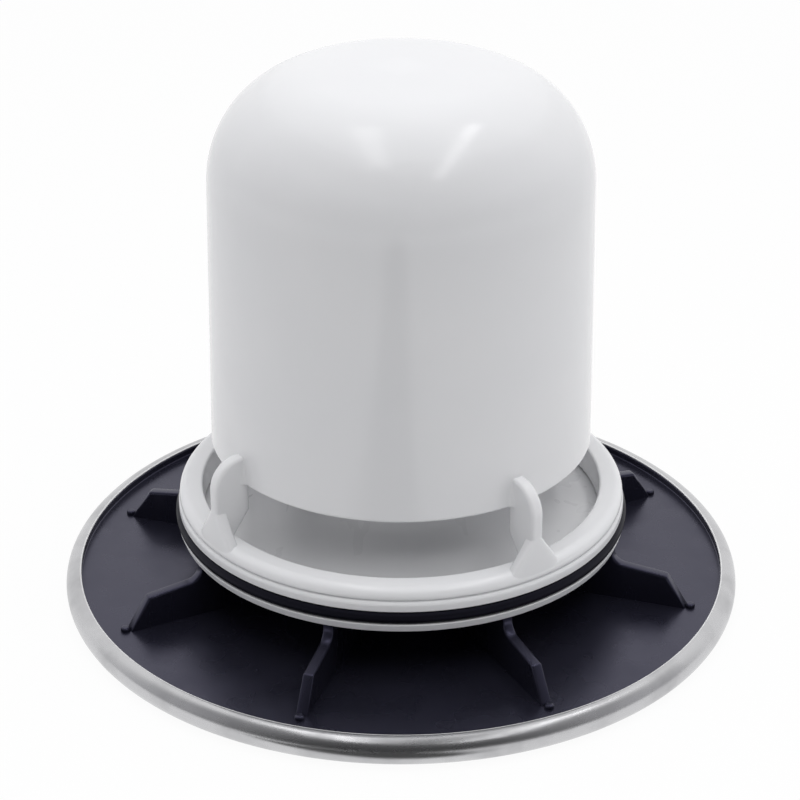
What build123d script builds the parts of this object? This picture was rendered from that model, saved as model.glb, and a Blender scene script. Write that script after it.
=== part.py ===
from build123d import *
import math
import os

# Shower drain insert: a pressed steel cover with its moulded carrier, a dip tube with a
# sealing ring, and a domed water-seal cup. Millimetres. It stands upside down on the
# cover's face: z = 0 is that face, +Z runs up the common axis towards the cup's dome.

# Cover: pressed sheet with a rolled edge
COVER_R = 57.5            # outside radius
SHEET_T = 0.6             # sheet thickness
ROLL_R = 2.45             # outside radius of the rolled edge
ROLL_END_DEG = 90.0       # where the roll stops, measured up from the horizontal
ROLL_GAP = 0.1            # carrier to the inside of the roll

# Trap cup: domed cup, fins and ring in one moulding
MOUTH_R = 31.8            # outside radius of the cup at its mouth
CUP_T = 2.0
CUP_H = 63.8              # mouth to the top of the crown
CUP_DRAFT = 1.0           # degrees
CROWN_R = 160.0
SHOULDER_R = 18.0
LIP_ROUND = 0.4
WINDOW_H = 8.7            # height of the open windows, ring to mouth
WINDOW_OUT = 1.8          # the ring starts this far outside the mouth
RING_W = 3.95             # radial width of the ring
RING_T = 2.1              # ring above the joint
RING_ROUND = 1.6
RING_EDGE = 0.35          # small round at the joint
SPIGOT_T = 1.3
FIN_COUNT = 4
FIN_AZ = -54.5            # direction of the first fin, degrees from +X
FIN_T = 2.2
FIN_INSET = 0.45          # outer edge of a fin inside the ring's outside
FIN_RISE = 4.9            # fin past the mouth, along the cup wall
FIN_FLAT = 0.3            # flat left between the fin's round corner and the cup wall
FIN_EDGE = 0.5            # bevel along the fin's edges
FOOT_H = 5.4              # the foot spreads from this far above the ring
FOOT_HALF = 5.8           # half width of the foot at the joint
FOOT_T = 2.0              # radial thickness of the foot

# Dip tube: flange, ring groove, band, trumpet and tube
BAND_STEP = 0.2           # band outside the cup's ring
BAND_W = 1.9
BAND_ROUND = 0.5
FLANGE_STEP = 0.35        # flange outside the band
FLANGE_T = 1.5
EDGE_ROUND = 0.2
SEAL_D = 2.0              # section of the sealing ring
SEAL_PROUD = 0.55         # sealing ring outside the band
SEAL_PLAY = 0.1           # groove wider than the sealing ring
ANNULUS_W = 7.8           # dip tube to the inside of the cup, at the mouth
TUBE_T = 2.2
TUBE_DRAFT = 0.45         # degrees
TUBE_END_ROUND = 0.8
TRUMPET_R = 9.0           # outside curve from the floor into the tube
WATER_SEAL = 50.0         # the tube's end lies this far past the cup's mouth
SPIGOT_GAP = 0.1          # cup's spigot to the recess, radial
SPIGOT_END_GAP = 0.3

# Carrier: black moulded disc with ribs
LEDGE_H = 1.0             # raised edge above the plate
LEDGE_W = 1.8             # width of the raised edge that the roll holds
LEDGE_FLAT = 0.25         # upright left over the cove at the plate
RIB_COUNT = 8
RIB_AZ = 27.0             # direction of the first rib, degrees from +X
RIB_H = 9.0               # plate to the flange that the ribs carry
RIB_T = 2.0               # thickness at the plate
RIB_DRAFT = 0.8           # degrees a side
RIB_MARGIN = 7.3          # rib's foot inside the cover's edge
TOE_BACK = 3.5            # outer corner of the rib's top edge inside its foot
TOE_ROUND = 0.5
SHOULDER_DROP = 2.7       # rib's shoulder below the flange
TOE_DROP = 0.8            # outer corner below the shoulder
POST_INSET = 0.3          # outer face of the post inside the band
SCOOP_R = 2.2             # hollow curve between the post and the shoulder
NUB_R = 0.8
NUB_H = 0.7
NUB_OUT = 0.6             # nub's centre outside the rib's foot
HUB_R = 5.0
HUB_H = 5.8
LEG_W = 5.5               # radial width of a leg in the dip tube
LEG_RISE = 18.8           # leg above the flange
LEG_GAP = 0.15            # leg to the bore of the dip tube
LEG_LEAD = 2.5            # length of the sloping lead at a leg's end
LEG_LEAD_IN = 1.0
ROOT = 0.5                # ribs, hub and nubs reach this far into the plate

# Radii and levels that follow
RING_IN_R = MOUTH_R + WINDOW_OUT
RING_OUT_R = RING_IN_R + RING_W
FIN_R = RING_OUT_R - FIN_INSET
FIN_ROUND = FIN_R - MOUTH_R - FIN_FLAT
BAND_R = RING_OUT_R + BAND_STEP
FLANGE_R = BAND_R + FLANGE_STEP
GROOVE_R = BAND_R + SEAL_PROUD - SEAL_D
TUBE_R = MOUTH_R - CUP_T - ANNULUS_W
RIB_FOOT_R = COVER_R - RIB_MARGIN
EDGE_TOP_Z = 2 * ROLL_R - SHEET_T - ROLL_GAP
PLATE_TOP_Z = EDGE_TOP_Z - LEDGE_H
HUB_TOP_Z = PLATE_TOP_Z + HUB_H
FLANGE_Z = PLATE_TOP_Z + RIB_H
GROOVE_Z = FLANGE_Z + FLANGE_T
BAND_Z = GROOVE_Z + SEAL_D + SEAL_PLAY
JOINT_Z = BAND_Z + BAND_W
RING_TOP_Z = JOINT_Z + RING_T
MOUTH_Z = RING_TOP_Z + WINDOW_H
CUP_TOP_Z = MOUTH_Z + CUP_H
FIN_TOP_Z = MOUTH_Z + FIN_RISE
FIN_BASE_Z = RING_TOP_Z + FOOT_H
LEG_TOP_Z = FLANGE_Z + LEG_RISE
FLOOR_Z = FLANGE_Z + TUBE_T


def turned(outline):
    """Solid of revolution about Z from edges drawn in (r, z)."""
    return revolve(Plane.XZ * make_face(outline), Axis.Z, 360)


def bow(centre, radius, start, end):
    """Circular arc between two angles in degrees, under 180 apart, as one rational curve."""
    def at(reach, deg):
        return (centre[0] + reach * math.cos(math.radians(deg)),
                centre[1] + reach * math.sin(math.radians(deg)))

    bulge = math.cos(math.radians(end - start) / 2)
    return Bezier(at(radius, start), at(radius / bulge, (start + end) / 2), at(radius, end),
                  weights=[1, bulge, 1])


def rounded(points, rounds):
    """Edges of a closed (r, z) outline; rounds pairs a corner with its radius."""
    rounds = dict(rounds)
    edges, ends = [], []
    for i, point in enumerate(points):
        corner = Vector(*point)
        back = (Vector(*points[i - 1]) - corner).normalized()
        ahead = (Vector(*points[(i + 1) % len(points)]) - corner).normalized()
        half = math.acos(back.dot(ahead)) / 2
        reach = rounds.get(point, 0.0) / math.tan(half)
        ends.append((corner + back * reach, corner + ahead * reach))
        if point in rounds:
            edges.append(Bezier(ends[-1][0], corner, ends[-1][1], weights=[1, math.sin(half), 1]))
    return edges + [Line(ends[i - 1][1], ends[i][0]) for i in range(len(points))]


def spread(shape, count, first):
    """Copies of a shape about Z, the first one at an azimuth in degrees."""
    return [Rot(0, 0, first + 360.0 / count * i) * shape for i in range(count)]


def upright(outline, thickness):
    """Radial plate along +X from edges drawn in (r, z), centred on its thickness."""
    return extrude(Plane.XZ * make_face(outline), thickness / 2, both=True)


def tube_line(z, radius):
    """Radius of a drafted wall of the dip tube at height z."""
    return radius - math.tan(math.radians(TUBE_DRAFT)) * (z - FLANGE_Z)


def cup_line(z, inset=0.0):
    """Radius of the drafted cup wall at height z."""
    return MOUTH_R - inset - math.tan(math.radians(CUP_DRAFT)) * (z - MOUTH_Z)


def cover():
    """Flat disc with a rolled edge of one sheet thickness and a rounded end."""
    centre = (COVER_R - ROLL_R, ROLL_R)
    inner = ROLL_R - SHEET_T
    end = math.radians(ROLL_END_DEG)
    tip = (centre[0] + (ROLL_R - SHEET_T / 2) * math.cos(end),
           centre[1] + (ROLL_R - SHEET_T / 2) * math.sin(end))
    return turned([
        Line((0, 0), (centre[0], 0)),
        bow(centre, ROLL_R, -90, 0),
        bow(centre, ROLL_R, 0, ROLL_END_DEG),
        bow(tip, SHEET_T / 2, ROLL_END_DEG, ROLL_END_DEG + 90),
        bow(tip, SHEET_T / 2, ROLL_END_DEG + 90, ROLL_END_DEG + 180),
        bow(centre, inner, ROLL_END_DEG, 0),
        bow(centre, inner, 0, -90),
        Line((centre[0], SHEET_T), (0, SHEET_T)),
        Line((0, SHEET_T), (0, 0)),
    ])


def rib_outline(leg):
    """Side view of a rib: post under the flange, scoop, sloping top, steep foot."""
    post_r = BAND_R - POST_INSET
    shoulder_z = FLANGE_Z - SHOULDER_DROP
    scoop = (post_r, shoulder_z)
    toe = (RIB_FOOT_R - TOE_BACK, shoulder_z - TOE_DROP)
    bore = tube_line(LEG_TOP_Z, TUBE_R - TUBE_T) - LEG_GAP
    base = PLATE_TOP_Z - ROOT
    points = [(0, base), (0, HUB_TOP_Z), (bore - LEG_W, HUB_TOP_Z)]
    if leg:
        points += [(bore - LEG_W, LEG_TOP_Z), (bore - LEG_LEAD_IN, LEG_TOP_Z),
                   (bore, LEG_TOP_Z - LEG_LEAD)]
    points += [(bore, FLANGE_Z), (post_r, FLANGE_Z), scoop, (post_r + SCOOP_R, shoulder_z), toe,
               (RIB_FOOT_R, PLATE_TOP_Z), (RIB_FOOT_R, base)]
    return rounded(points, [(scoop, SCOOP_R * 0.98), (toe, TOE_ROUND)])


def rib(leg):
    """One drafted rib along +X, thinner towards its top."""
    base = PLATE_TOP_Z - ROOT
    top = LEG_TOP_Z if leg else FLANGE_Z
    block = extrude(Pos(RIB_FOOT_R / 2, 0, base) * Rectangle(2 * RIB_FOOT_R, RIB_T),
                    top - base + ROOT, taper=RIB_DRAFT)
    return upright(rib_outline(leg), RIB_T + ROOT) & block


def nub():
    """Small round-topped stud that stands on the plate past a rib's foot."""
    base, top = PLATE_TOP_Z - ROOT, PLATE_TOP_Z + NUB_H
    stud = turned(rounded([(0, base), (NUB_R, base), (NUB_R, top), (0, top)],
                          [((NUB_R, top), NUB_R / 2)]))
    return Pos(RIB_FOOT_R + NUB_OUT, 0, 0) * stud


def cover_carrier():
    """Disc that fills the rolled edge, with a hub, radial ribs and four legs."""
    out = COVER_R - SHEET_T - ROLL_GAP
    step = out - LEDGE_W
    corner = ROLL_R - SHEET_T - ROLL_GAP
    disc = turned(rounded(
        [(0, SHEET_T), (out, SHEET_T), (out, EDGE_TOP_Z), (step, EDGE_TOP_Z), (step, PLATE_TOP_Z),
         (0, PLATE_TOP_Z)],
        [((out, SHEET_T), corner), ((out, EDGE_TOP_Z), corner),
         ((step, PLATE_TOP_Z), LEDGE_H - LEDGE_FLAT)]))
    hub = turned(rounded([(0, PLATE_TOP_Z - ROOT), (HUB_R, PLATE_TOP_Z - ROOT), (HUB_R, HUB_TOP_Z),
                          (0, HUB_TOP_Z)], []))
    half = RIB_COUNT // 2
    parts = spread(rib(True), half, RIB_AZ) + spread(rib(False), half, RIB_AZ + 360.0 / RIB_COUNT)
    return disc + hub + parts + spread(nub(), RIB_COUNT, RIB_AZ)


def dip_tube():
    """Flange and band round a recess, turned into a trumpet and a long tube."""
    recess_r = RING_IN_R + SPIGOT_T + SPIGOT_GAP
    end_z = MOUTH_Z + WATER_SEAL
    bore = TUBE_R - TUBE_T
    foot, bore_foot = (tube_line(FLOOR_Z, TUBE_R), FLOOR_Z), (bore, FLANGE_Z)
    end, bore_end = (tube_line(end_z, TUBE_R), end_z), (tube_line(end_z, bore), end_z)
    return turned(rounded(
        [bore_foot, (FLANGE_R, FLANGE_Z), (FLANGE_R, GROOVE_Z), (GROOVE_R, GROOVE_Z),
         (GROOVE_R, BAND_Z), (BAND_R, BAND_Z), (BAND_R, JOINT_Z), (recess_r, JOINT_Z),
         (recess_r, FLOOR_Z), foot, end, bore_end],
        [(bore_foot, TRUMPET_R + TUBE_T), (foot, TRUMPET_R), ((FLANGE_R, FLANGE_Z), EDGE_ROUND),
         ((FLANGE_R, GROOVE_Z), EDGE_ROUND), ((BAND_R, BAND_Z), EDGE_ROUND),
         ((BAND_R, JOINT_Z), BAND_ROUND), (end, TUBE_END_ROUND), (bore_end, TUBE_END_ROUND)]))


def sealing_ring():
    """Round-section ring lying in the dip tube's groove, on the flange."""
    centre = (GROOVE_R + SEAL_D / 2, GROOVE_Z + SEAL_D / 2)
    return turned([bow(centre, SEAL_D / 2, 90 * i, 90 * i + 90) for i in range(4)])


def cup_shell():
    """Drafted cup wall with a rounded shoulder under a slightly crowned top."""
    def crown(r, inset):
        return CUP_TOP_Z - CROWN_R + math.sqrt((CROWN_R - inset) ** 2 - r * r)

    def corner(inset):
        z = CUP_TOP_Z - inset
        for _ in range(8):
            z = crown(cup_line(z, inset), inset)
        return (cup_line(z, inset), z)

    out, inn = corner(0.0), corner(CUP_T)
    mid_o, mid_i = out[0] / 2, inn[0] / 2
    lip, low = cup_line(MOUTH_Z + LIP_ROUND), MOUTH_Z + LIP_ROUND
    face = make_face([
        Line((lip, low), out),
        ThreePointArc(out, (mid_o, crown(mid_o, 0.0)), (0, CUP_TOP_Z)),
        Line((0, CUP_TOP_Z), (0, CUP_TOP_Z - CUP_T)),
        ThreePointArc((0, CUP_TOP_Z - CUP_T), (mid_i, crown(mid_i, CUP_T)), inn),
        Line(inn, (lip - CUP_T, low)),
        bow((lip - CUP_T + LIP_ROUND, low), LIP_ROUND, 180, 270),
        Line((lip - CUP_T + LIP_ROUND, MOUTH_Z), (lip - LIP_ROUND, MOUTH_Z)),
        bow((lip - LIP_ROUND, low), LIP_ROUND, 270, 360),
    ])
    for spot, radius in [(out, SHOULDER_R), (inn, SHOULDER_R - CUP_T)]:
        near = face.vertices().sort_by_distance(Vector(*spot))[0]
        face = fillet(near, radius)
    return revolve(Plane.XZ * face, Axis.Z, 360)


def cup_ring():
    """Flat ring with a rounded top edge and a spigot that plugs into the dip tube."""
    spigot_z = FLOOR_Z + SPIGOT_END_GAP
    spigot_r = RING_IN_R + SPIGOT_T
    return turned(rounded(
        [(RING_IN_R, spigot_z), (spigot_r, spigot_z), (spigot_r, JOINT_Z), (RING_OUT_R, JOINT_Z),
         (RING_OUT_R, RING_TOP_Z), (RING_IN_R, RING_TOP_Z)],
        [((RING_OUT_R, JOINT_Z), RING_EDGE), ((RING_OUT_R, RING_TOP_Z), RING_ROUND),
         ((RING_IN_R, RING_TOP_Z), LIP_ROUND), ((spigot_r, spigot_z), LIP_ROUND)]))


def fin():
    """Radial plate from the ring to the cup wall, on a foot that spreads along the ring."""
    inner = MOUTH_R - CUP_T / 2
    sunk = JOINT_Z + RING_EDGE
    top = (FIN_R, FIN_TOP_Z)
    plate = upright(rounded(
        [(inner, FIN_TOP_Z), top, (FIN_R, sunk), (RING_IN_R + LIP_ROUND, sunk),
         (RING_IN_R + LIP_ROUND, RING_TOP_Z - LIP_ROUND), (inner, MOUTH_Z - FIN_RISE)],
        [(top, FIN_ROUND)]), FIN_T)
    edges = [e for e in plate.edges()
             if (e @ 0.5).Z > FIN_BASE_Z and (e @ 0.5).X > MOUTH_R and abs((e @ 0.5).Y) > FIN_T / 4]
    plate = chamfer(edges, FIN_EDGE)
    neck = FIN_T / 2 - FIN_EDGE
    wedge = Polyline((-FOOT_HALF, sunk), (FOOT_HALF, sunk), (neck, FIN_BASE_Z),
                     (-neck, FIN_BASE_Z), close=True)
    foot = extrude(Plane.YZ * make_face(wedge), RING_OUT_R)
    collar = turned(Polyline((FIN_R - FOOT_T, JOINT_Z), (RING_OUT_R, JOINT_Z), (FIN_R, FIN_BASE_Z),
                             (FIN_R - FOOT_T, FIN_BASE_Z), close=True))
    return plate + (foot & collar)


def trap_cup():
    """Cup, ring and fins moulded together."""
    return cup_shell() + cup_ring() + spread(fin(), FIN_COUNT, FIN_AZ)


if __name__ == "__main__":
    os.makedirs("parts", exist_ok=True)
    for node, make in [("cover", cover), ("cover_carrier", cover_carrier), ("dip_tube", dip_tube),
                       ("sealing_ring", sealing_ring), ("trap_cup", trap_cup)]:
        export_step(make(), f"parts/{node}.step")
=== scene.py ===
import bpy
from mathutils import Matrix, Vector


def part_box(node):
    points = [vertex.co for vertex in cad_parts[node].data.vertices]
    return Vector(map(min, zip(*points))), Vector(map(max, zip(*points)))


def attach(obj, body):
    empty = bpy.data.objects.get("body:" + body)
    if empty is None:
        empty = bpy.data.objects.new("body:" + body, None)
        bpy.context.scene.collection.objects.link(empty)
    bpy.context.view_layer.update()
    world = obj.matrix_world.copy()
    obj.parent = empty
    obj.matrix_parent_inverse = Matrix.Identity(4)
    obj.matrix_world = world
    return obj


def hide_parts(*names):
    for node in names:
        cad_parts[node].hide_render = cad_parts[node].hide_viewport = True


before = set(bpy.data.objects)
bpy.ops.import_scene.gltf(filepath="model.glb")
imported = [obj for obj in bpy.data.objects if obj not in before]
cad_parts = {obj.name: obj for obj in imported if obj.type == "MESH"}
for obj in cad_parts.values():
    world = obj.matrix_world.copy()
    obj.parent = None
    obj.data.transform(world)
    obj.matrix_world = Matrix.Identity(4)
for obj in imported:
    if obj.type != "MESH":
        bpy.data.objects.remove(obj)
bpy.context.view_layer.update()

import math

import bpy
import numpy as np
from bpy.props import FloatProperty, FloatVectorProperty, IntProperty, PointerProperty
from bpy.types import Operator, Panel, PropertyGroup

bl_info = {
    "name": "Shower Drain Insert",
    "version": (1, 0, 0),
    "blender": (4, 5, 0),
    "location": "View3D > Sidebar > Drain",
    "description": "Moulded water-seal cup, dip tube, ribbed carrier and rolled steel cover of a shower drain",
    "category": "Object",
}

MM = 0.001
CREASE = math.radians(40.0)    # an edge sharper than this keeps a hard line
ROUND = 288                    # columns of a large turned piece


# Property helpers: sizes are typed in millimetres and colours as sRGB codes.

def to_linear(code):
    """Scene-linear colour of an sRGB hex code."""
    c = np.array([int(code[i:i + 2], 16) for i in (1, 3, 5)]) / 255.0
    return tuple(float(v) for v in np.where(c <= 0.04045, c / 12.92, ((c + 0.055) / 1.055) ** 2.4))


def size(label, mm, note):
    return FloatProperty(name=label, description=note, default=mm * MM, min=0.0, precision=5,
                         unit="LENGTH", subtype="DISTANCE")


def bearing(label, degrees, note):
    return FloatProperty(name=label, description=note, default=math.radians(degrees),
                         unit="ROTATION", subtype="ANGLE")


def colour(label, code, note):
    return FloatVectorProperty(name=label, description=note, default=to_linear(code), size=3,
                               min=0.0, max=1.0, subtype="COLOR")


def span(node, axis):
    """Highest coordinate of a CAD node along an axis, in millimetres."""
    return round(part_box(node)[1][axis] / MM, 3)


class CoverSettings(PropertyGroup):
    """Pressed steel cover with a rolled edge."""
    radius: size("Radius", span("cover", 0), "Outside radius of the cover")
    sheet: size("Sheet", 0.6, "Thickness of the steel sheet")
    roll: size("Roll", 2.45, "Outside radius of the rolled edge")
    curl: size("Curl", 1.6, "Tighter outside radius of the roll near its end")
    curl_from: bearing("Curl start", 70.0, "Where the tighter curl starts, up from the horizontal")
    roll_end: bearing("Roll end", 104.5, "Where the rolled edge stops, up from the horizontal")
    steel: colour("Steel", "#C6C6C8", "Polished stainless steel")
    stain: colour("Handled steel", "#B2B2B4", "Steel where hands and cloths have dulled it")
    # Painted highlight: near-white colour of the sheet's shorn end, which makes the bright line along the lip
    shorn_end_highlight: colour("Shorn edge", "#F0F0F0", "Bright matt end of the sheet")


class CarrierSettings(PropertyGroup):
    """Black moulded disc with radial ribs."""
    edge: size("Edge radius", span("cover_carrier", 0), "Radius of the disc inside the rolled edge")
    under: size("Underside", 0.6, "Level of the disc's flat face on the cover's sheet")
    plate: size("Plate level", 3.2, "Top of the disc")
    ledge: size("Ledge width", 1.8, "Raised edge that the roll holds")
    ledge_top: size("Ledge level", 4.2, "Top of the raised edge")
    ribs: IntProperty(name="Ribs", description="Number of radial ribs, every other one with a leg",
                      default=8, min=2, step=2)
    turn: bearing("Rib bearing", 27.0, "Direction of the first rib")
    rib: size("Rib thickness", 2.0, "Thickness of a rib at the plate")
    foot: size("Rib reach", 50.2, "Radius of a rib's foot")
    carried: size("Flange level", 12.2, "Level of the flange that the ribs carry")
    edge_round: size("Rib edge", 0.38, "Round along the ribs' edges")
    black: colour("Black", "#15151C", "Blue-black moulding compound")
    haze: colour("Haze", "#1E1E28", "Black where the surface is duller")
    cast: colour("Cast", "#D2D0FF", "Bluish cast of the light that the black surface mirrors")


class TubeSettings(PropertyGroup):
    """Dip tube with flange, groove, band and trumpet."""
    flange: size("Flange radius", span("dip_tube", 0), "Outside radius of the flange")
    flange_low: size("Flange level", 12.2, "Underside of the flange")
    groove: size("Groove radius", 36.3, "Floor of the groove for the sealing ring")
    band: size("Band radius", 37.75, "Outside of the band above the groove")
    joint: size("Joint level", 17.7, "Where the cup's ring sits on the band")
    recess: size("Recess radius", 35.0, "Inside of the band, round the cup's spigot")
    tube: size("Tube radius", 22.0, "Outside of the tube at its root")
    wall: size("Tube wall", 2.2, "Wall thickness")
    end: size("Tube end", span("dip_tube", 2), "Level of the tube's open end")
    trumpet: size("Trumpet", 9.0, "Outside curve from the floor into the tube")
    white: colour("White", "#EEEEEF", "White moulding compound")
    shade: colour("Shade", "#E6E7E9", "White where the compound is a little greyer")


class SealSettings(PropertyGroup):
    """Round-section sealing ring."""
    outside: size("Outside radius", span("sealing_ring", 0), "Outside radius of the ring")
    section: size("Section", 2.0, "Diameter of the rubber's section")
    level: size("Level", 14.7, "Height of the section's centre")
    rubber: colour("Rubber", "#09090C", "Black rubber")
    bloom: colour("Bloom", "#101014", "Greyer film on the rubber")
    cast: colour("Cast", "#CFCDFF", "Bluish cast of the light that the rubber mirrors")


class CupSettings(PropertyGroup):
    """Domed cup with fins and ring in one moulding."""
    mouth: size("Mouth radius", 31.8, "Outside radius of the cup at its mouth")
    mouth_level: size("Mouth level", 28.5, "Level of the cup's mouth")
    top: size("Top", span("trap_cup", 2), "Level of the crown")
    wall: size("Wall", 2.0, "Wall thickness")
    draft: bearing("Draft", 1.0, "Lean of the cup wall")
    crown: size("Crown radius", 160.0, "Radius of the slightly domed top")
    shoulder: size("Shoulder radius", 18.0, "Round between the wall and the crown")
    ring_out: size("Ring outside", span("trap_cup", 0), "Outside radius of the ring")
    ring_in: size("Ring inside", 33.6, "Inside radius of the ring")
    ring_top: size("Ring top", 19.8, "Top face of the ring")
    ring_low: size("Ring joint", 17.7, "Where the ring sits on the dip tube")
    spigot: size("Spigot level", 14.7, "Lower end of the spigot inside the dip tube")
    fins: IntProperty(name="Fins", description="Number of fins", default=4, min=1)
    turn: bearing("Fin bearing", -54.5, "Direction of the first fin")
    fin: size("Fin thickness", 2.2, "Thickness of a fin")
    fin_out: size("Fin reach", 37.1, "Radius of a fin's outer edge")
    fin_top: size("Fin top", 33.4, "Level of a fin's top")
    fin_blend: size("Fin blend", 0.9, "Round between a fin and the cup wall")
    foot: size("Foot half width", 5.8, "Half width of a fin's foot along the ring")
    foot_top: size("Foot top", 25.2, "Level where the foot starts to spread")
    white: colour("White", "#F0F0F1", "White moulding compound")
    shade: colour("Shade", "#E9EAEC", "White where the compound is a little cooler")


class StageSettings(PropertyGroup):
    """Floor, soft studio light and camera."""
    eye: FloatVectorProperty(name="Camera", description="Place of the camera", size=3, precision=5,
                             default=(-0.000175, -0.34648, 0.20969), subtype="XYZ", unit="LENGTH")
    pitch: bearing("Pitch", 63.104, "Camera turned up from straight down")
    lens: FloatProperty(name="Lens", description="Focal length in millimetres on a 36 mm frame", default=104.55)
    floor: colour("Floor", "#F4F4F4", "Pale floor")
    sky: colour("Studio light", "#FBFBFE", "Soft white light of the studio")


# Surfaces. A shell is (points, faces), in millimetres until it becomes a mesh; its faces are a list of
# arrays, one row of point numbers a face.

def along(outline, radii, steps=7, run=0.4):
    """Closed outline with rounded corners. Each corner c between tangent points a and b becomes
    ((1-t)^2 a + 2t(1-t) w c + t^2 b) / ((1-t)^2 + 2t(1-t) w + t^2), a circular arc when w is the
    sine of half the corner's angle. A point near each end of every straight run, at the distance
    run, keeps its shading flat."""
    c = np.asarray(outline, float)
    back, ahead = np.roll(c, 1, 0) - c, np.roll(c, -1, 0) - c
    back /= np.linalg.norm(back, axis=1, keepdims=True)
    ahead /= np.linalg.norm(ahead, axis=1, keepdims=True)
    half = np.arccos(np.clip((back * ahead).sum(1), -1.0, 1.0)) / 2.0
    reach = (np.asarray(radii, float) / np.tan(half))[:, None]
    a, b = c + back * reach, c + ahead * reach
    t = np.linspace(0.0, 1.0, steps + 1)[None, :, None]
    k0, k1, k2 = (1 - t) ** 2, 2 * t * (1 - t) * np.sin(half)[:, None, None], t * t
    curve = (k0 * a[:, None] + k1 * c[:, None] + k2 * b[:, None]) / (k0 + k1 + k2)
    gap = np.roll(a, -1, 0) - b
    length = np.maximum(np.linalg.norm(gap, axis=1, keepdims=True), 1e-9)
    step = gap * np.minimum(run / length, 0.25)
    line = np.concatenate([curve, (b + step)[:, None], (b + gap - step)[:, None]], 1).reshape(-1, 2)
    return line[np.linalg.norm(line - np.roll(line, 1, 0), axis=1) > 1e-5]


def from_axis(line):
    """Opens a closed outline whose first and last corners lie on the axis, dropping the run along it."""
    z = line[line[:, 0] < 1e-6][:, 1]
    body = line[line[:, 0] >= 1e-6]
    return np.vstack([(0.0, z[0]), body, (0.0, z[1])])


def arc(centre, radius, start, end, steps):
    """Points centre + radius (cos a, sin a) for angles from start to end in degrees."""
    a = np.radians(np.linspace(start, end, steps + 1))
    return np.column_stack([centre[0] + radius * np.cos(a), centre[1] + radius * np.sin(a)])


def quads(rows, cols, close_rows, close_cols):
    """Faces of a grid of rows by cols points, joined end to end where asked."""
    i = np.arange(rows if close_rows else rows - 1)[:, None]
    j = np.arange(cols if close_cols else cols - 1)[None, :]
    i2, j2 = (i + 1) % rows, (j + 1) % cols
    return np.stack([i * cols + j, i * cols + j2, i2 * cols + j2, i2 * cols + j], -1).reshape(-1, 4)


def turned(profile, turns, swell=0.0):
    """Profile of (radius, height) points carried round Z: point (i, j) is
    ((r_i + swell_ij) cos a_j, (r_i + swell_ij) sin a_j, z_i). Ends on the axis close in a fan,
    and a profile that never meets the axis closes on itself."""
    angles = np.linspace(0.0, 2 * np.pi, turns, endpoint=False) if np.ndim(turns) == 0 else turns
    on_axis = profile[:, 0] < 1e-6
    body = profile[~on_axis]
    rows, cols = len(body), len(angles)
    r = body[:, :1] + (swell[~on_axis] if np.ndim(swell) else swell)
    points = np.stack([r * np.cos(angles), r * np.sin(angles), np.repeat(body[:, 1:], cols, 1)], -1)
    points = points.reshape(-1, 3)
    faces = [quads(rows, cols, not on_axis.any(), True)]
    j = np.arange(cols)
    for pole, ring, flip in ((0, 0, True), (len(profile) - 1, rows - 1, False)):
        if on_axis[pole]:
            tip = np.full(cols, len(points))
            points = np.vstack([points, (0.0, 0.0, profile[pole, 1])])
            a, b = ring * cols + j, ring * cols + (j + 1) % cols
            faces.append(np.column_stack([tip, b, a] if flip else [a, b, tip]))
    return points, faces


def plate(outline, half, edge, lean=0.0, base=0.0, steps=4):
    """Radial plate with rounded edges: an (r, z) outline is carried across the thickness, drawn in
    by edge (1 - cos a) where the side lies half - edge + edge sin a from the middle. With a lean the
    half thickness shrinks by lean for each unit of height over base. One more line inside the round,
    at 1.3 edge, keeps the shading of the flat sides flat."""
    ahead = np.roll(outline, -1, 0) - outline
    ahead /= np.linalg.norm(ahead, axis=1, keepdims=True)
    inward = np.column_stack([-ahead[:, 1], ahead[:, 0]])
    mitre = inward + np.roll(inward, 1, 0)
    mitre *= 2.0 / (mitre ** 2).sum(1, keepdims=True)
    a = np.linspace(0.0, np.pi / 2, steps + 1)
    inset = np.append(edge * (1 - np.cos(a)), edge * 1.3)
    side = np.append(half - edge + edge * np.sin(a), half)
    inset, side = np.concatenate([inset[::-1], inset]), np.concatenate([-side[::-1], side])
    rz = outline[:, None] + mitre[:, None] * inset[None, :, None]
    y = side[None, :] * (1.0 - lean * (rz[..., 1] - base) / half)
    points = np.stack([rz[..., 0], y, rz[..., 1]], -1).reshape(-1, 3)
    rows, cols = len(outline), len(inset)
    cap = np.arange(rows)[None, :] * cols
    return points, [quads(rows, cols, True, False), cap, (cap + cols - 1)[:, ::-1]]


def about_z(shell, bearings):
    """Copies of a shell turned about Z, one for each bearing in radians."""
    points, faces = shell
    copies = []
    for a in bearings:
        turn = np.array([[math.cos(a), math.sin(a), 0], [-math.sin(a), math.cos(a), 0], [0, 0, 1]])
        copies.append((points @ turn, faces))
    return copies


def as_piece(name, node, shells, material):
    """One object from shells in millimetres, standing for a CAD node."""
    points, faces, start = [], [], 0
    for p, arrays in shells:
        points.append(p)
        for rows in arrays:
            faces += (rows + start).tolist()
        start += len(p)
    mesh = bpy.data.meshes.new(name)
    mesh.from_pydata(np.vstack(points) * MM, [], faces)
    mesh.polygons.foreach_set("use_smooth", np.ones(len(mesh.polygons), bool))
    mesh.set_sharp_from_angle(angle=CREASE)
    mesh.materials.append(material)
    mesh.update()
    piece = bpy.data.objects.new(name, mesh)
    bpy.context.scene.collection.objects.link(piece)
    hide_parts(node)
    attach(piece, "root")


# Finishes.

def add(tree, kind, sockets=None, **settings):
    """Adds a node; each socket takes a value or is linked to another node's output."""
    node = tree.nodes.new(kind)
    for key, value in settings.items():
        setattr(node, key, value)
    for key, value in (sockets or {}).items():
        if isinstance(value, bpy.types.NodeSocket):
            tree.links.new(value, node.inputs[key])
        else:
            node.inputs[key].default_value = value
    return node


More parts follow.
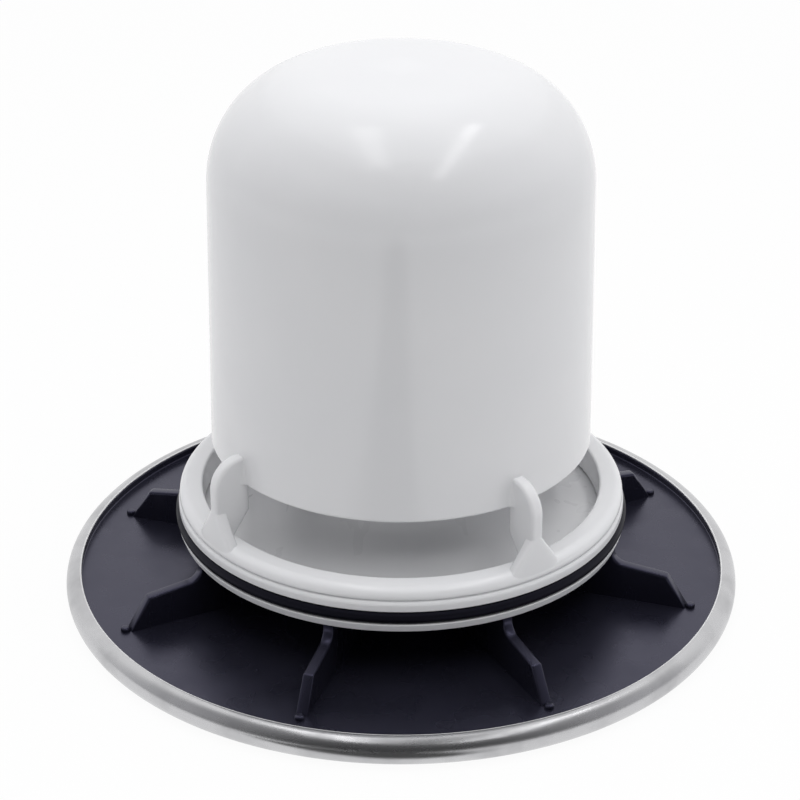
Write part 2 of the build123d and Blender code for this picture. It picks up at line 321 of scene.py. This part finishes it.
def finish(name, **sockets):
    """Empty material with its surface shader; uniform values go on the shader's sockets."""
    material = bpy.data.materials.new(name)
    material.use_nodes = True
    tree = material.node_tree
    surface = tree.nodes["Principled BSDF"]
    for key, value in sockets.items():
        surface.inputs[key.replace("_", " ").title().replace("Ior", "IOR")].default_value = value
    where = add(tree, "ShaderNodeTexCoord").outputs["Object"]
    return material, tree, surface, where


def moulded_plastic(name, light, shade, gloss, grain_mm, grain_depth, cast=(1.0, 1.0, 1.0), level=0.5):
    """Injection-moulded plastic: faint clouds of pigment, gloss that wanders a little along the
    flow of the melt, and the fine skin that a polished tool leaves. Moulded rubber has the same
    marks with less gloss."""
    cloud_mm, flow_mm, drawn_out = 24.0, 6.0, 0.22
    material, tree, surface, where = finish(
        name, ior=1.49, specular_tint=(*cast, 1.0), specular_ior_level=level)
    cloud = add(tree, "ShaderNodeTexNoise", {"Vector": where, "Scale": 1 / (cloud_mm * MM), "Detail": 3.0})
    tint = add(tree, "ShaderNodeMix", {"Factor": cloud.outputs["Fac"]}, data_type="RGBA")
    tint.inputs["A"].default_value = (*light, 1.0)
    tint.inputs["B"].default_value = (*shade, 1.0)
    tree.links.new(tint.outputs["Result"], surface.inputs["Base Color"])
    stretch = add(tree, "ShaderNodeMapping", {"Vector": where, "Scale": (1.0, 1.0, drawn_out)})
    flow = add(tree, "ShaderNodeTexNoise", {
        "Vector": stretch.outputs["Vector"], "Scale": 1 / (flow_mm * MM), "Detail": 2.0})
    rough = add(tree, "ShaderNodeMapRange", {
        "Value": flow.outputs["Fac"], "From Min": 0.3, "From Max": 0.7, "To Min": gloss[0], "To Max": gloss[1]})
    tree.links.new(rough.outputs["Result"], surface.inputs["Roughness"])
    grain = add(tree, "ShaderNodeTexNoise", {"Vector": where, "Scale": 1 / (grain_mm * MM), "Detail": 2.0})
    bump = add(tree, "ShaderNodeBump", {
        "Height": grain.outputs["Fac"], "Strength": 1.0, "Distance": grain_depth * MM})
    tree.links.new(bump.outputs["Normal"], surface.inputs["Normal"])
    return material


def polished_steel(settings):
    """Stainless sheet polished round its edge: rings left by the wheel, drawn coarser than their
    real 0.05 mm so that they show, a slow ripple of the rolled edge, and duller handled patches.
    The shorn end of the sheet is matt and carries a painted highlight: its near-white colour makes a fine pale
    line along the lip."""
    ring_mm, wander_mm, drift_mm, patch_mm, ripple_mm = 0.3, 30.0, 0.4, 11.0, 9.0
    ring_depth, ripple_depth = 0.004, 0.12
    polish, from_wear, from_rings, from_shears = 0.235, 0.07, 0.06, 0.36    # roughness
    material, tree, surface, where = finish("polished_stainless", metallic=1.0)

    # The wheel's rings: a pattern of radius and height alone, which wanders a little on its way round.
    split = add(tree, "ShaderNodeSeparateXYZ", {"Vector": where})
    square = add(tree, "ShaderNodeMath", {0: split.outputs["X"], 1: split.outputs["X"]}, operation="MULTIPLY")
    square = add(tree, "ShaderNodeMath", {0: split.outputs["Y"], 1: split.outputs["Y"], 2: square.outputs[0]},
                 operation="MULTIPLY_ADD")
    radius = add(tree, "ShaderNodeMath", {0: square.outputs[0]}, operation="SQRT")
    ringed = add(tree, "ShaderNodeCombineXYZ", {"X": radius.outputs[0], "Z": split.outputs["Z"]})
    wander = add(tree, "ShaderNodeTexNoise", {"Vector": where, "Scale": 1 / (wander_mm * MM), "Detail": 1.0})
    drift = add(tree, "ShaderNodeVectorMath", {
        0: wander.outputs["Color"], 1: (drift_mm * MM, 0.0, drift_mm * MM)}, operation="MULTIPLY")
    ringed = add(tree, "ShaderNodeVectorMath", {0: ringed.outputs[0], 1: drift.outputs[0]}, operation="ADD")
    rings = add(tree, "ShaderNodeTexNoise", {
        "Vector": ringed.outputs[0], "Scale": 1 / (ring_mm * MM), "Detail": 2.0})

    # Handled patches are a little greyer and duller.
    patch = add(tree, "ShaderNodeTexNoise", {
        "Vector": where, "Scale": 1 / (patch_mm * MM), "Detail": 4.0, "Roughness": 0.6})
    worn = add(tree, "ShaderNodeMapRange", {"Value": patch.outputs["Fac"], "From Min": 0.42, "From Max": 0.68})
    tint = add(tree, "ShaderNodeMix", {"Factor": worn.outputs["Result"]}, data_type="RGBA")
    tint.inputs["A"].default_value = (*settings.steel, 1.0)
    tint.inputs["B"].default_value = (*settings.stain, 1.0)
    soft = add(tree, "ShaderNodeMath", {0: worn.outputs["Result"], 1: from_wear, 2: polish},
               operation="MULTIPLY_ADD")
    soft = add(tree, "ShaderNodeMath", {0: rings.outputs["Fac"], 1: from_rings, 2: soft.outputs[0]},
               operation="MULTIPLY_ADD")

    # The shorn end, painted near white as a highlight: inside the radius and over the level of the sheet's
    # outer corner.
    tighter = settings.roll - settings.curl
    lip = (settings.radius - settings.roll + tighter * math.cos(settings.curl_from)
           + settings.curl * math.cos(settings.roll_end),
           settings.roll + tighter * math.sin(settings.curl_from)
           + settings.curl * math.sin(settings.roll_end))
    near = add(tree, "ShaderNodeMapRange", {
        "Value": radius.outputs[0], "From Min": lip[0] + 0.10 * MM, "From Max": lip[0] + 0.18 * MM,
        "To Min": 1.0, "To Max": 0.0})
    high = add(tree, "ShaderNodeMath", {0: split.outputs["Z"], 1: lip[1] - 0.18 * MM}, operation="GREATER_THAN")
    shorn_end_highlight = add(tree, "ShaderNodeMath", {0: near.outputs["Result"], 1: high.outputs[0]}, operation="MULTIPLY")
    soft = add(tree, "ShaderNodeMath", {0: shorn_end_highlight.outputs[0], 1: from_shears, 2: soft.outputs[0]},
               operation="MULTIPLY_ADD")
    tree.links.new(soft.outputs[0], surface.inputs["Roughness"])
    # Painted highlight: the shorn end takes the near-white colour and keeps little of its metal
    bare = add(tree, "ShaderNodeMix", {"Factor": shorn_end_highlight.outputs[0]}, data_type="RGBA")
    tree.links.new(tint.outputs["Result"], bare.inputs["A"])
    bare.inputs["B"].default_value = (*settings.shorn_end_highlight, 1.0)
    tree.links.new(bare.outputs["Result"], surface.inputs["Base Color"])
    metal = add(tree, "ShaderNodeMapRange", {"Value": shorn_end_highlight.outputs[0], "To Min": 1.0, "To Max": 0.15})
    tree.links.new(metal.outputs["Result"], surface.inputs["Metallic"])

    ripple = add(tree, "ShaderNodeTexNoise", {"Vector": where, "Scale": 1 / (ripple_mm * MM), "Detail": 1.0})
    slow = add(tree, "ShaderNodeBump", {
        "Height": ripple.outputs["Fac"], "Strength": 1.0, "Distance": ripple_depth * MM})
    fine = add(tree, "ShaderNodeBump", {
        "Height": rings.outputs["Fac"], "Strength": 1.0, "Distance": ring_depth * MM,
        "Normal": slow.outputs["Normal"]})
    tree.links.new(fine.outputs["Normal"], surface.inputs["Normal"])
    return material


class DRAIN_OT_cover(Operator):
    """Turn the steel cover: flat disc, rolled edge that tightens near its end, and the sheet's rounded end"""
    bl_idname = "drain.cover"
    bl_label = "Steel cover"

    def execute(self, context):
        s = context.scene.drain_cover
        big, roll, sheet, end = s.radius / MM, s.roll / MM, s.sheet / MM, math.degrees(s.roll_end)
        curl, start = s.curl / MM, math.degrees(s.curl_from)
        centre = (big - roll, roll)
        nearer = np.array(centre) + (roll - curl) * np.array([math.cos(s.curl_from), math.sin(s.curl_from)])
        out = np.array([math.cos(s.roll_end), math.sin(s.roll_end)])
        tip, corner = nearer + (curl - sheet / 2) * out, 0.12
        flat = np.linspace(0.0, centre[0], 15)[:-1]
        # Outside: disc, roll, and a tighter arc that goes on in the same direction. Then the sheet's end
        # with its two small rounds, and the same lines back, one sheet further in.
        profile = np.vstack([
            np.column_stack([flat, np.zeros_like(flat)]),
            arc(centre, roll, -90, start, 36),
            arc(nearer, curl, start, end, 12)[1:],
            arc(tip + (sheet / 2 - corner) * out, corner, end, end + 90, 5)[1:],
            arc(tip - (sheet / 2 - corner) * out, corner, end + 90, end + 180, 5),
            arc(nearer, curl - sheet, end, start, 10)[1:-1],
            arc(centre, roll - sheet, start, -90, 24),
            np.column_stack([flat[::-1], np.full_like(flat, sheet)])])
        as_piece("steel_cover", "cover", [turned(profile, ROUND)], polished_steel(s))
        return {"FINISHED"}


class DRAIN_OT_carrier(Operator):
    """Shape the black carrier: stepped disc, hub, drafted ribs with legs, and nubs"""
    bl_idname = "drain.carrier"
    bl_label = "Ribbed carrier"

    # Millimetres: how deep hub, ribs and nubs are sunk in the plate, and their sizes over it.
    SUNK, HUB_RADIUS, HUB_TALL = 0.5, 5.0, 5.8
    NUB_SUNK, NUB_RADIUS, NUB_TALL, NUB_OUT = 0.3, 0.8, 0.7, 0.6

    def rib(self, s, leg):
        """Side view of a rib with its post, scoop, sloping top and steep foot, made a leaning plate."""
        flange, foot = s.carried / MM, s.foot / MM
        base, hub = s.plate / MM - self.SUNK, s.plate / MM + self.HUB_TALL
        post, shoulder = 37.45, flange - 2.7              # outer face under the flange, floor of the scoop
        bore, leg_top, leg_wide = 19.50, flange + 18.8, 5.5
        middle, draft = 0.5, math.tan(math.radians(0.8))
        # Corners: radius, level, round.
        corners = [(middle, base, 0), (foot + 0.32, base, 0), (foot - 3.5, shoulder - 0.8, 0.6),
                   (post + 2.2, shoulder, 0), (post, shoulder, 2.15), (post, flange, 0), (bore, flange, 0)]
        if leg:
            corners += [(bore, leg_top - 2.5, 0), (bore - 1.0, leg_top, 0), (bore - leg_wide, leg_top, 0)]
        corners += [(bore - leg_wide, hub, 0), (middle, hub, 0)]
        c = np.array(corners)
        line = along(c[:, :2], c[:, 2], steps=6, run=0.0)
        return plate(line, s.rib / MM / 2, s.edge_round / MM, draft, base)

    def pin(self, low, radius, top, corner):
        """Profile of a round pin that stands on the axis, with a round at its top."""
        return from_axis(along([(0, low), (radius, low), (radius, top), (0, top)], [0, 0, corner, 0]))

    def execute(self, context):
        s = context.scene.drain_carrier
        out, low, top, ledge = s.edge / MM, s.under / MM, s.plate / MM, s.ledge_top / MM
        step, held = out - s.ledge / MM, 1.75             # held: the round that lies in the steel's roll
        disc = from_axis(along(
            [(0, low), (out, low), (out, ledge), (step, ledge), (step, top), (0, top)],
            [0, held, held, 0.1, 0.2, 0], steps=8, run=0.6))
        hub = self.pin(top - self.SUNK, self.HUB_RADIUS, top + self.HUB_TALL, 0.4)
        points, faces = turned(self.pin(top - self.NUB_SUNK, self.NUB_RADIUS, top + self.NUB_TALL, 0.45), 20)
        nub = (points + np.array([s.foot / MM + self.NUB_OUT, 0, 0]), faces)
        bearings = s.turn + np.arange(s.ribs) * 2 * math.pi / s.ribs
        shells = [turned(disc, ROUND), turned(hub, 48)]
        shells += about_z(self.rib(s, True), bearings[::2]) + about_z(self.rib(s, False), bearings[1::2])
        shells += about_z(nub, bearings)
        # Satin black plastic: it mirrors pale surroundings as a bluish grey.
        as_piece("ribbed_carrier", "cover_carrier", shells, moulded_plastic(
            "black_moulding", s.black, s.haze, gloss=(0.24, 0.34), grain_mm=0.45, grain_depth=0.006,
            cast=s.cast, level=0.8))
        return {"FINISHED"}


class DRAIN_OT_dip_tube(Operator):
    """Turn the dip tube: flange, groove, band, recess, trumpet and tube"""
    bl_idname = "drain.dip_tube"
    bl_label = "Dip tube"

    def execute(self, context):
        s = context.scene.drain_tube
        low, wall, bore = s.flange_low / MM, s.wall / MM, (s.tube - s.wall) / MM
        flange, tube, trumpet = s.flange / MM, s.tube / MM, s.trumpet / MM
        groove, floor, end = low + 1.5, low + wall, s.end / MM
        upper, undercut = groove + 2.1, 0.5               # groove's upper side, lean of the flange's edge
        lean = math.tan(math.radians(0.45))
        slim = lean * (end - low)
        # Corners: radius, level, round.
        corners = np.array([
            (bore, low, trumpet + wall), (flange - undercut, low, 0.2), (flange, groove, 0.2),
            (s.groove / MM, groove, 0.06), (s.groove / MM, upper, 0.06), (s.band / MM, upper, 0.2),
            (s.band / MM, s.joint / MM, 0.85), (s.recess / MM, s.joint / MM, 0.2),
            (s.recess / MM, floor, 0.15), (tube - lean * wall, floor, trumpet),
            (tube - slim, end, 0.8), (bore - slim, end, 0.8)])
        line = along(corners[:, :2], corners[:, 2], steps=12, run=0.3)
        # Satin white plastic, duller than the cup.
        as_piece("dip_tube_moulding", "dip_tube", [turned(line, ROUND)], moulded_plastic(
            "white_tube_moulding", s.white, s.shade, gloss=(0.26, 0.36), grain_mm=0.9, grain_depth=0.004))
        return {"FINISHED"}


class DRAIN_OT_sealing_ring(Operator):
    """Turn the rubber sealing ring"""
    bl_idname = "drain.sealing_ring"
    bl_label = "Sealing ring"

    def execute(self, context):
        s = context.scene.drain_seal
        half = s.section / MM / 2
        section = arc((s.outside / MM - half, s.level / MM), half, 0, 360, 40)[:-1]
        # Black rubber: hardly any gloss, and a greyer bloom in clouds.
        as_piece("rubber_ring", "sealing_ring", [turned(section, ROUND)], moulded_plastic(
            "black_rubber", s.rubber, s.bloom, gloss=(0.42, 0.55), grain_mm=0.35, grain_depth=0.006,
            cast=s.cast, level=0.2))
        return {"FINISHED"}


class DRAIN_OT_trap_cup(Operator):
    """Shape the trap cup: domed shell, ring with spigot, and fins on spreading feet"""
    bl_idname = "drain.trap_cup"
    bl_label = "Trap cup"

    # Millimetres: round of the cup's lip, and how far fins and feet stop short of the ring's underside.
    LIP, CLEAR = 0.4, 0.35

    # Distances from a fin's middle, along the wall at the radius NEAR_FIN, at which the shell has columns.
    COLUMNS = (0.0, 0.35, 0.7, 0.95, 1.1, 1.14, 1.2, 1.28, 1.38, 1.5, 1.65, 1.82, 2.02, 2.3, 2.7)
    NEAR_FIN = 31.5

    def shell_profile(self, s):
        """(radius, height) points of the cup: outer lip, drafted wall, shoulder arc, crown, and the
        same lines one wall further in; the shoulder's centre lies on both offset lines."""
        lean, mouth, low, top = math.tan(s.draft), s.mouth / MM, s.mouth_level / MM, s.top / MM
        lip, fin, deep = low + self.LIP, s.fin_top / MM, top - s.crown / MM
        sides = []
        for inset in (0.0, s.wall / MM):
            big, small = s.crown / MM - inset, s.shoulder / MM - inset
            zc = top - s.shoulder / MM
            for _ in range(30):    # settles on the shoulder's centre
                rc = mouth - inset - lean * (zc - low) - small / math.cos(s.draft)
                zc = deep + math.sqrt((big - small) ** 2 - rc ** 2)
            meet = math.degrees(math.atan2(zc - deep, rc))
            # Rows crowd near the lip and the fins' tops, where the shape changes fast.
            z = np.concatenate([
                [lip + 0.2, lip + 0.7], np.linspace(lip + 1.2, fin - 0.8, 7), fin + np.linspace(-0.5, 1.5, 15),
                np.linspace(fin + 2.0, zc - 0.6, 12), [zc - 0.3]])
            wall = np.column_stack([mouth - inset - lean * (z - low), z])
            bend = arc((rc, zc), small, math.degrees(s.draft), meet, 30)
            crown = arc((0.0, deep), big, meet, 90.0, 14)[1:]
            crown[-1, 0] = 0.0
            sides.append(np.vstack([wall, bend, crown]))
        edge = mouth - self.LIP * lean
        lip_in = arc((edge - s.wall / MM + self.LIP, lip), self.LIP, 180, 270, 6)
        lip_out = arc((edge - self.LIP, lip), self.LIP, 270, 360, 6)
        outer = np.vstack([lip_in, lip_out, sides[0]])
        return np.vstack([outer, sides[1][::-1]]), len(lip_in), len(outer)

    def blend(self, s, profile, angles, first, last):
        """Swell of the outer wall round each fin: F - sqrt(F^2 - (F - d)^2) at distance d from the
        fin's footprint, a quarter-round fillet whose radius F dies out towards the fin's top."""
        half, round_off, fade, least = s.fin / MM / 2, 0.5, 4.0, 0.06
        rise = profile[:, 1:] - s.fin_top / MM
        f = s.fin_blend / MM * np.clip(-rise / fade, least, 1.0)
        step = 2 * np.pi / s.fins
        off = (angles - s.turn + step / 2) % step - step / 2
        side = np.abs(profile[:, :1] * off[None, :])
        d = np.hypot(np.maximum(side - half + round_off, 0), np.maximum(rise + round_off, 0)) - round_off
        near = np.clip(f - d, 0.0, f)
        swell = f - np.sqrt(f * f - near * near)
        rows = np.zeros((len(profile), 1))
        rows[first:last] = 1.0
        return swell * rows

    def shell(self, s):
        """The cup's shell: outer and inner surfaces are turned apart, each with its own pole, and share
        the lip's row where the inner wall starts."""
        step = 2 * np.pi / s.fins
        close = np.array(self.COLUMNS) / self.NEAR_FIN
        gap = np.linspace(close[-1], step - close[-1], 44)[1:-1]
        part = np.concatenate([-close[:0:-1], close, gap])
        angles = np.sort((s.turn + part[None, :] + step * np.arange(s.fins)[:, None]).ravel() % (2 * np.pi))
        profile, first, last = self.shell_profile(s)
        swell = self.blend(s, profile, angles, first, last)
        outer, inner = profile[:last], profile[last:]
        p, f = turned(outer, angles, swell[:last])
        q, g = turned(np.vstack([inner, outer[:1]]), angles)
        return np.vstack([p, q]), f + [rows + len(p) for rows in g]

    def foot(self, s):
        """Foot of a fin: a squared-off oval section, |x|^4 + |y|^4 = 1, whose width runs straight from
        the ring up to the fin while its outer face follows the ring's round."""
        rows, cols, depth, slim = 14, 64, 2.0, 0.6        # depth under the fin's edge, half width at the top
        z = np.linspace(s.ring_low / MM + self.CLEAR, s.foot_top / MM, rows)[:, None]
        u = np.linspace(0.0, 2 * np.pi, cols, endpoint=False)[None, :]
        share_up = (z - s.ring_low / MM) / (s.foot_top / MM - s.ring_low / MM)
        outside = s.ring_out / MM + (s.fin_out - s.ring_out) / MM * share_up
        inside = s.fin_out / MM - depth
        width = s.foot / MM + (slim - s.foot / MM) * (z - z[0]) / (z[-1] - z[0])
        across = np.sign(np.cos(u)) * np.abs(np.cos(u)) ** 0.5
        aside = np.sign(np.sin(u)) * np.abs(np.sin(u)) ** 0.5
        r = (outside + inside) / 2 + (outside - inside) / 2 * across
        a = width * aside / s.ring_out * MM
        points = np.stack([r * np.cos(a), r * np.sin(a), z + 0 * u], -1).reshape(-1, 3)
        cap = np.arange(cols)[None, :]
        return points, [quads(rows, cols, False, True), cap[:, ::-1], cap + (rows - 1) * cols]

    def fin(self, s):
        """Side view of a fin from inside the cup's wall to its rounded outer corner, made a plate."""
        inner, reach, low = s.mouth / MM - 1.0, s.fin_out / MM, s.ring_low / MM + self.CLEAR
        inside, corner, edge = s.ring_in / MM + 0.4, 5.0, 0.6
        side = along(
            [(inner, s.mouth_level / MM - 4.9), (inside, s.ring_top / MM - 0.4), (inside, low), (reach, low),
             (reach, s.fin_top / MM), (inner, s.fin_top / MM)],
            [0, 0, 0, 0, corner, 0], steps=14, run=0.0)
        return plate(side, s.fin / MM / 2, edge)

    def ring(self, s):
        """Section of the ring and its spigot, turned."""
        inside, outside, spigot = s.ring_in / MM, s.ring_out / MM, s.ring_in / MM + 1.3
        low, top, end = s.ring_low / MM, s.ring_top / MM, s.spigot / MM
        section = along(
            [(inside, end), (spigot, end), (spigot, low), (outside, low), (outside, top), (inside, top)],
            [0.2, 0.4, 0.1, 0.35, 1.6, 0.4], steps=9, run=0.3)
        return turned(section, ROUND)

    def execute(self, context):
        s = context.scene.drain_cup
        bearings = s.turn + 2 * np.pi / s.fins * np.arange(s.fins)
        shells = [self.shell(s), self.ring(s)]
        shells += about_z(self.fin(s), bearings) + about_z(self.foot(s), bearings)
        # Glossy white plastic: soft long highlights of the lamps on the dome.
        as_piece("domed_trap_cup", "trap_cup", shells, moulded_plastic(
            "white_cup_moulding", s.white, s.shade, gloss=(0.14, 0.20), grain_mm=1.1, grain_depth=0.003))
        return {"FINISHED"}


class DRAIN_OT_stage(Operator):
    """Set the pale floor, the soft studio light and the camera"""
    bl_idname = "drain.stage"
    bl_label = "Stage"

    # Soft lights of the studio: direction, how narrow, how strong. The camera's side is nearly dark.
    SOFT_LIGHTS = [
        ((0.0, 0.0, 1.0), 3.0, 0.34), ((0.0, 0.7, 0.7), 4.0, 0.37), ((0.0, 0.97, 0.2), 4.0, 0.53),
        ((-0.95, 0.0, 0.3), 4.0, 0.93), ((0.95, 0.0, 0.3), 4.0, 0.96),
        ((0.0, -0.97, 0.25), 8.0, 0.12)]

    def floor(self, s):
        """Flat square grid a hair under the cover. The eye sees it nearly white, and it keeps the shadow; as
        light and in gloss its colour carries painted shade in front.
        """
        half, count, level = 3.0, 13, -0.06 * MM
        speckled, white = 0.985, 0.94                     # darker speckle; share of plain white to the eye
        dark, shaded = 0.05, 0.15                         # what is left of the floor's paleness where shade is painted, see below
        line = np.linspace(-half, half, count)
        x, y = np.meshgrid(line, line)
        mesh = bpy.data.meshes.new("studio_floor")
        points = np.stack([x, y, np.full_like(x, level)], -1).reshape(-1, 3)
        mesh.from_pydata(points, [], quads(count, count, False, False).tolist())
        material, tree, surface, where = finish("pale_floor", roughness=1.0)
        surface.inputs["Specular IOR Level"].default_value = 0.0
        speckle = add(tree, "ShaderNodeTexNoise", {"Vector": where, "Scale": 6.0, "Detail": 2.0})
        tint = add(tree, "ShaderNodeMix", {"Factor": speckle.outputs["Fac"]}, data_type="RGBA")
        tint.inputs["A"].default_value = (*s.floor, 1.0)
        tint.inputs["B"].default_value = (*(v * speckled for v in s.floor), 1.0)
        path = add(tree, "ShaderNodeLightPath")
        split = add(tree, "ShaderNodeSeparateXYZ", {"Vector": where})
        eye = add(tree, "ShaderNodeMath", {
            0: path.outputs["Is Camera Ray"], 1: path.outputs["Is Transmission Ray"]}, operation="MAXIMUM")

        # Painted shade: as a source of light the floor's colour darkens towards the viewer, standing for the
        # dark camera side of the studio.
        lit = add(tree, "ShaderNodeMapRange", {
            "Value": split.outputs["Y"], "From Min": -0.40, "From Max": -0.09, "To Min": shaded, "To Max": 1.0},
            interpolation_type="SMOOTHSTEP")

        # Painted reflection: in gloss it is white, but for a painted dark strip in front of the cover that
        # stands for the viewer's own shade.
        ahead = add(tree, "ShaderNodeMapRange", {
            "Value": split.outputs["Y"], "From Min": -0.0602, "From Max": -0.0584,
            "To Min": dark, "To Max": 1.0})
        aside = add(tree, "ShaderNodeMath", {0: split.outputs["X"], 1: 0.010}, operation="ADD")
        aside = add(tree, "ShaderNodeMath", {0: aside.outputs[0]}, operation="ABSOLUTE")
        aside = add(tree, "ShaderNodeMapRange", {
            "Value": aside.outputs[0], "From Min": 0.020, "From Max": 0.032, "To Min": dark, "To Max": 1.0})
        strip = add(tree, "ShaderNodeMath", {0: ahead.outputs["Result"], 1: aside.outputs["Result"]},
                    operation="MAXIMUM")

        # Painted shade as light, painted dark strip in gloss; the eye sees the floor's plain colour
        keep = add(tree, "ShaderNodeMix", {
            "Factor": path.outputs["Is Glossy Ray"], "A": lit.outputs["Result"], "B": strip.outputs[0]})
        keep = add(tree, "ShaderNodeMath", {0: eye.outputs[0], 1: keep.outputs["Result"]}, operation="MAXIMUM")
        base = add(tree, "ShaderNodeVectorMath", {0: tint.outputs["Result"], "Scale": keep.outputs[0]},
                   operation="SCALE")
        tree.links.new(base.outputs["Vector"], surface.inputs["Base Color"])
        # In gloss the white glow leaves out the painted dark strip too
        shine = add(tree, "ShaderNodeMath", {0: path.outputs["Is Glossy Ray"], 1: strip.outputs[0]},
                    operation="MULTIPLY")
        seen = add(tree, "ShaderNodeMath", {0: eye.outputs[0], 1: shine.outputs[0]}, operation="MAXIMUM")
        seen = add(tree, "ShaderNodeMath", {0: seen.outputs[0], 1: white}, operation="MULTIPLY")
        glow = add(tree, "ShaderNodeEmission", {"Color": (1.0, 1.0, 1.0, 1.0), "Strength": 1.0})
        both = add(tree, "ShaderNodeMixShader", {0: seen.outputs[0], 1: surface.outputs[0], 2: glow.outputs[0]})
        tree.links.new(both.outputs[0], tree.nodes["Material Output"].inputs["Surface"])
        mesh.materials.append(material)
        floor = bpy.data.objects.new("studio_floor", mesh)
        bpy.context.scene.collection.objects.link(floor)

    def world(self, s):
        """White to the eye; as light it is a sum of soft lobes, strength max(0, d.v)^power in direction d.
        Gloss sees the lobes dimmer, and plain white behind the object."""
        world = bpy.data.worlds.new("studio")
        world.use_nodes = True
        tree = world.node_tree
        way = add(tree, "ShaderNodeTexCoord").outputs["Generated"]
        level = None
        for towards, power, strength in self.SOFT_LIGHTS:
            length = math.sqrt(sum(v * v for v in towards))
            facing = add(tree, "ShaderNodeVectorMath", {0: way, 1: tuple(v / length for v in towards)},
                         operation="DOT_PRODUCT")
            facing = add(tree, "ShaderNodeMath", {0: facing.outputs["Value"], 1: 0.0}, operation="MAXIMUM")
            facing = add(tree, "ShaderNodeMath", {0: facing.outputs[0], 1: power}, operation="POWER")
            level = add(tree, "ShaderNodeMath", {0: facing.outputs[0], 1: strength, 2: level or 0.0},
                        operation="MULTIPLY_ADD").outputs[0]
        path = add(tree, "ShaderNodeLightPath")
        dim = add(tree, "ShaderNodeMapRange", {
            "Value": path.outputs["Is Glossy Ray"], "To Min": 1.0, "To Max": 0.6})
        level = add(tree, "ShaderNodeMath", {0: level, 1: dim.outputs["Result"]}, operation="MULTIPLY")
        light = add(tree, "ShaderNodeVectorMath", {0: s.sky, "Scale": level.outputs[0]}, operation="SCALE")
        split = add(tree, "ShaderNodeSeparateXYZ", {"Vector": way})
        behind = add(tree, "ShaderNodeMapRange", {
            "Value": split.outputs["Y"], "From Min": 0.0, "From Max": 0.4})
        shine = add(tree, "ShaderNodeMath", {0: path.outputs["Is Glossy Ray"], 1: behind.outputs["Result"]},
                    operation="MULTIPLY")
        seen = add(tree, "ShaderNodeMath", {
            0: path.outputs["Is Camera Ray"], 1: path.outputs["Is Transmission Ray"]}, operation="MAXIMUM")
        seen = add(tree, "ShaderNodeMath", {0: seen.outputs[0], 1: shine.outputs[0]}, operation="MAXIMUM")
        both = add(tree, "ShaderNodeMix", {"Factor": seen.outputs[0]}, data_type="RGBA")
        tree.links.new(light.outputs["Vector"], both.inputs["A"])
        both.inputs["B"].default_value = (1.0, 1.0, 1.0, 1.0)
        tree.links.new(both.outputs["Result"], tree.nodes["Background"].inputs["Color"])
        bpy.context.scene.world = world

    def lamp(self, name, place, wide, long, radiance, mirrored=True):
        """Lamp on the ceiling, along Y, whose power gives the wanted brightness of its face."""
        light = bpy.data.lights.new(name, "AREA")
        light.shape, light.size, light.size_y = "RECTANGLE", wide, long
        light.energy = radiance * math.pi * wide * long
        lamp = bpy.data.objects.new(name, light)
        lamp.location = place
        lamp.visible_camera = False
        lamp.visible_glossy = mirrored
        bpy.context.scene.collection.objects.link(lamp)

    def execute(self, context):
        s = context.scene.drain_stage
        self.floor(s)
        self.world(s)
        # The strips make the two highlights on the dome; the panel only lights.
        self.lamp("strip_left", (-0.19, -0.11, 1.0), wide=0.17, long=0.78, radiance=2.1)
        self.lamp("strip_right", (0.40, -0.19, 1.0), wide=0.11, long=1.13, radiance=3.5)
        self.lamp("soft_panel", (0.06, -0.36, 1.0), wide=1.0, long=1.0, radiance=1.74, mirrored=False)
        camera = bpy.data.objects.new("camera", bpy.data.cameras.new("camera"))
        camera.data.sensor_width, camera.data.lens = 36.0, s.lens
        camera.data.clip_start = 0.01
        camera.location = s.eye
        camera.rotation_euler = (s.pitch, 0.0, 0.0)
        context.scene.collection.objects.link(camera)
        context.scene.camera = camera
        context.scene.view_settings.view_transform = "Standard"
        return {"FINISHED"}


class VIEW3D_PT_drain(Panel):
    """Lists the pieces of the drain and what can be set on each"""
    bl_label = "Shower drain"
    bl_space_type = "VIEW_3D"
    bl_region_type = "UI"
    bl_category = "Drain"

    def draw(self, context):
        for operator, group in STEPS:
            column = self.layout.box().column(align=True)
            column.operator(operator.bl_idname)
            settings = getattr(context.scene, group)
            for key in settings.__annotations__:
                column.prop(settings, key)


GROUPS = {
    "drain_cover": CoverSettings, "drain_carrier": CarrierSettings, "drain_tube": TubeSettings,
    "drain_seal": SealSettings, "drain_cup": CupSettings, "drain_stage": StageSettings,
}
STEPS = [
    (DRAIN_OT_cover, "drain_cover"), (DRAIN_OT_carrier, "drain_carrier"), (DRAIN_OT_dip_tube, "drain_tube"),
    (DRAIN_OT_sealing_ring, "drain_seal"), (DRAIN_OT_trap_cup, "drain_cup"), (DRAIN_OT_stage, "drain_stage"),
]


def register():
    for name, group in GROUPS.items():
        bpy.utils.register_class(group)
        setattr(bpy.types.Scene, name, PointerProperty(type=group))
    for operator, _ in STEPS:
        bpy.utils.register_class(operator)
    bpy.utils.register_class(VIEW3D_PT_drain)


def unregister():
    bpy.utils.unregister_class(VIEW3D_PT_drain)
    for operator, _ in reversed(STEPS):
        bpy.utils.unregister_class(operator)
    for name, group in reversed(GROUPS.items()):
        delattr(bpy.types.Scene, name)
        bpy.utils.unregister_class(group)


def main():
    register()
    bpy.ops.drain.cover()
    bpy.ops.drain.carrier()
    bpy.ops.drain.dip_tube()
    bpy.ops.drain.sealing_ring()
    bpy.ops.drain.trap_cup()
    bpy.ops.drain.stage()
    bpy.context.view_layer.update()


if __name__ == "__main__":
    main()
